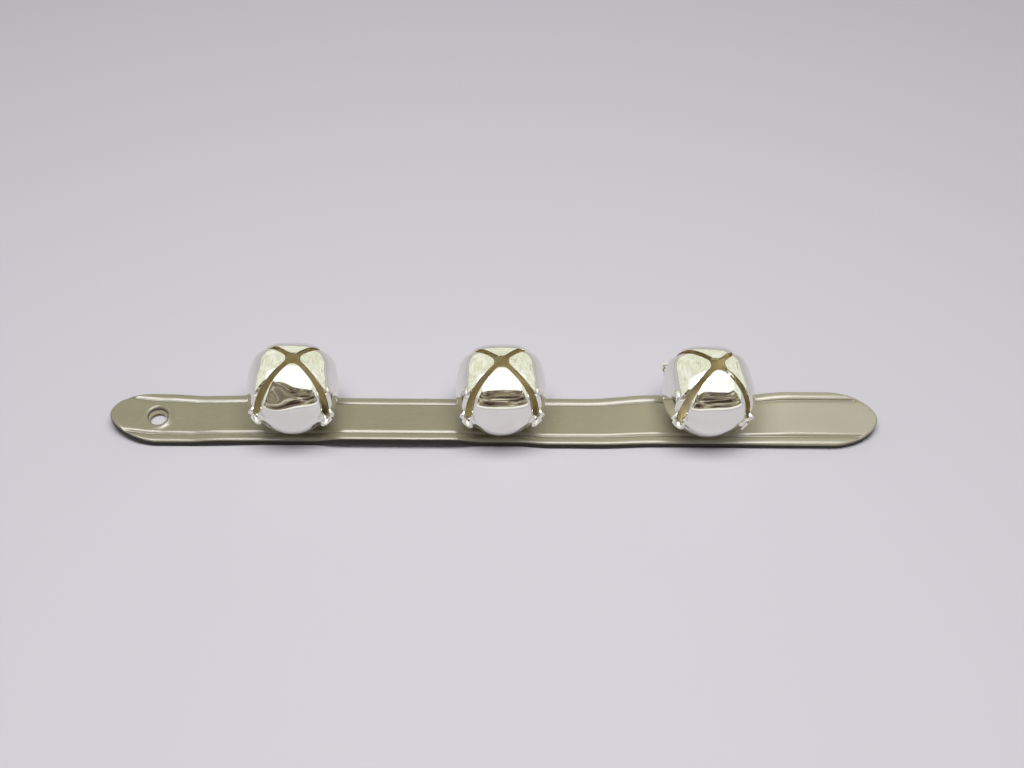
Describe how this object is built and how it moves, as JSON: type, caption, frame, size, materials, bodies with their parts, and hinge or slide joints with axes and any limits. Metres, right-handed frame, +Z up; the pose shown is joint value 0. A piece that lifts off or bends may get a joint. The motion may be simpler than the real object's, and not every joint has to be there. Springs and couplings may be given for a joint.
{
  "type": "bell strap",
  "caption": "Leather strap with a row of round plated jingle bells riveted along it and a hanging hole near one end; the bells swivel on their rivets.",
  "frame": {"origin": "middle of the strap's back, on the surface that it lies on", "axes": "+Z up out of the bells' side, +X along the strap from the end with the hole towards the other end"},
  "size_m": [0.323, 0.0378, 0.0399],
  "materials": {
    "strap_leather": "satin",
    "bell_plating": "polished",
    "pellet_steel": "satin",
    "rivet_plating": "satin"
  },
  "bodies": {
    "root": {"leather_strap": "strap_leather", "rivet_1": "rivet_plating", "burr_washer_1": "rivet_plating", "rivet_2": "rivet_plating", "burr_washer_2": "rivet_plating", "rivet_3": "rivet_plating", "burr_washer_3": "rivet_plating"},
    "bell_1": {"bell_shell_1": "bell_plating"},
    "pellet_1": {"pellet_1": "pellet_steel"},
    "bell_2": {"bell_shell_2": "bell_plating"},
    "pellet_2": {"pellet_2": "pellet_steel"},
    "bell_3": {"bell_shell_3": "bell_plating"},
    "pellet_3": {"pellet_3": "pellet_steel"}
  },
  "joints": [
    {"name": "bell_1_swivel", "type": "hinge", "parent": "root", "child": "bell_1", "pos_m": [-0.0842, 0, 0.0036], "axis": [0, 0, 1], "continuous": true},
    {"name": "pellet_1_rattle", "type": "slide", "parent": "bell_1", "child": "pellet_1", "axis": [0, 0, 1], "range_m": [0, 0.0222]},
    {"name": "bell_2_swivel", "type": "hinge", "parent": "root", "child": "bell_2", "pos_m": [0.0016, 0, 0.0036], "axis": [0, 0, 1], "continuous": true},
    {"name": "pellet_2_rattle", "type": "slide", "parent": "bell_2", "child": "pellet_2", "axis": [0, 0, 1], "range_m": [0, 0.0222]},
    {"name": "bell_3_swivel", "type": "hinge", "parent": "root", "child": "bell_3", "pos_m": [0.0874, 0, 0.0036], "axis": [0, 0, 1], "continuous": true},
    {"name": "pellet_3_rattle", "type": "slide", "parent": "bell_3", "child": "pellet_3", "axis": [0, 0, 1], "range_m": [0, 0.0222]}
  ]
}
